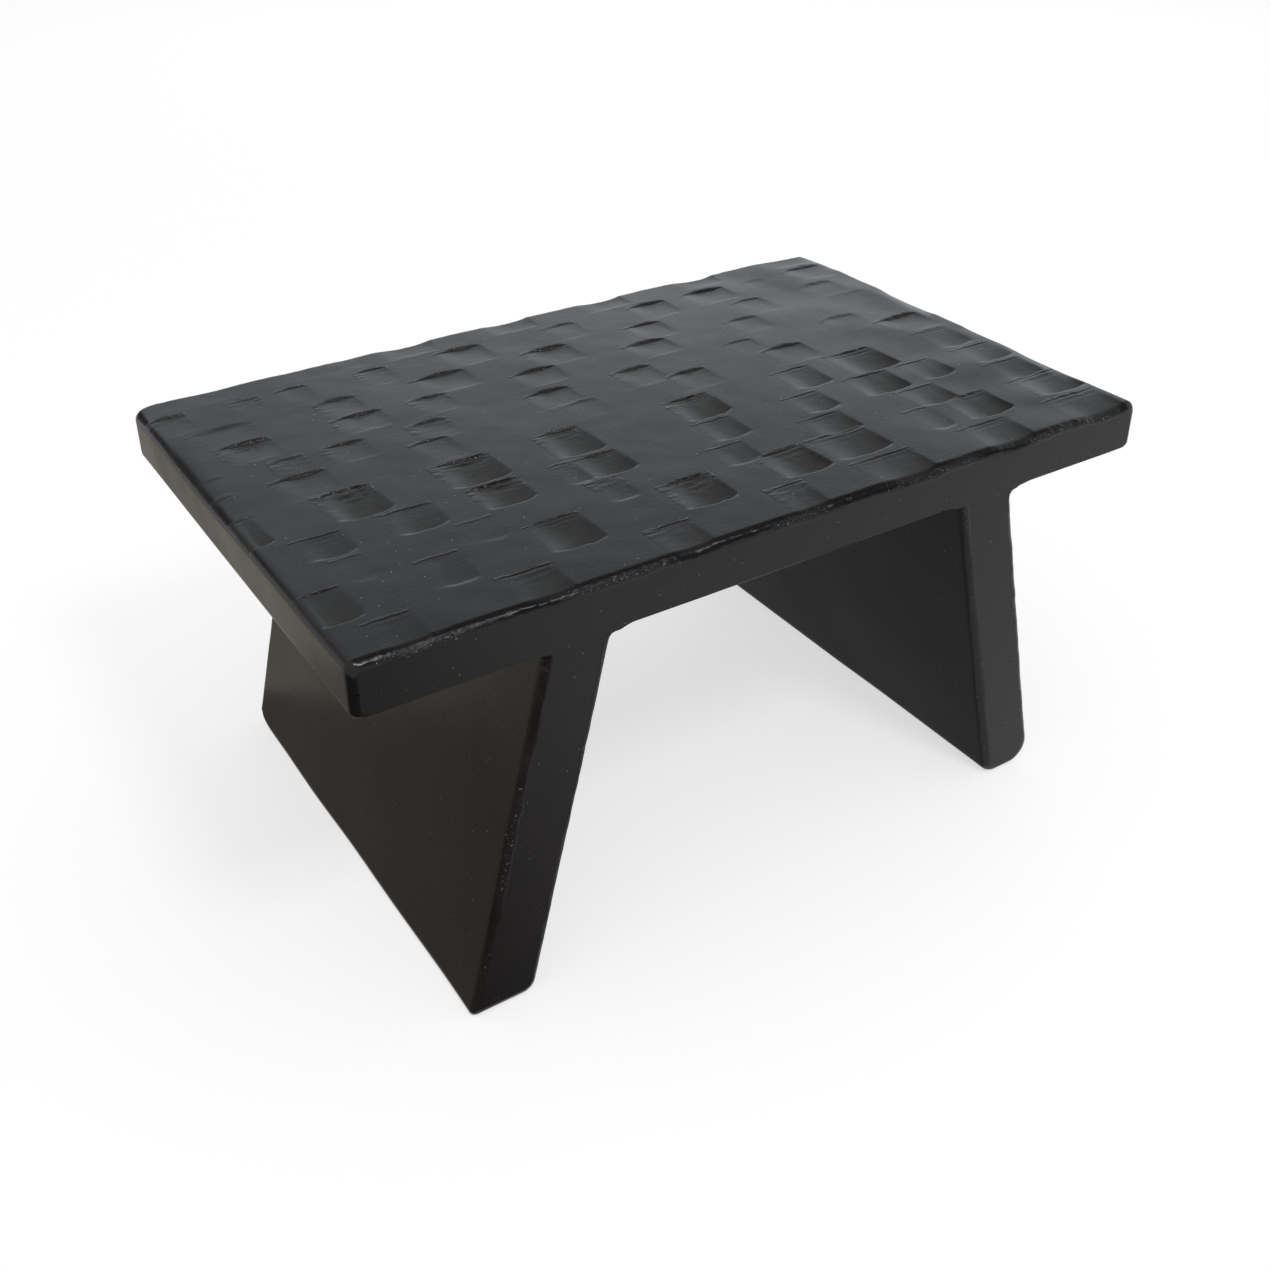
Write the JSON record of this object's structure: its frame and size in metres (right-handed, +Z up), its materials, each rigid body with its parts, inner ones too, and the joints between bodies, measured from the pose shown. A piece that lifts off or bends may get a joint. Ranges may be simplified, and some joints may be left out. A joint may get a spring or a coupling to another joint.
{
  "type": "low stool",
  "caption": "Low rectangular wooden stool in satin black, with a hand-gouged seat on splayed plank legs, to sit on, to rest the feet on or to stand things on.",
  "frame": {"origin": "on the floor, under the middle of the seat", "axes": "+X along the seat's length, to the right as seen from the front; +Y from the front to the back; +Z up"},
  "size_m": [0.42, 0.266, 0.205],
  "materials": {
    "black_paint": "satin black paint",
    "dowel_wood": "plain beech"
  },
  "bodies": {
    "root": {"seat_board_1": "black_paint", "seat_board_2": "black_paint", "seat_board_3": "black_paint", "seat_board_4": "black_paint", "left_leg_board_1": "black_paint", "left_leg_board_2": "black_paint", "left_leg_board_3": "black_paint", "left_leg_board_4": "black_paint", "right_leg_board_1": "black_paint", "right_leg_board_2": "black_paint", "right_leg_board_3": "black_paint", "right_leg_board_4": "black_paint", "left_leg_dowels": "dowel_wood", "right_leg_dowels": "dowel_wood"}
  },
  "joints": []
}
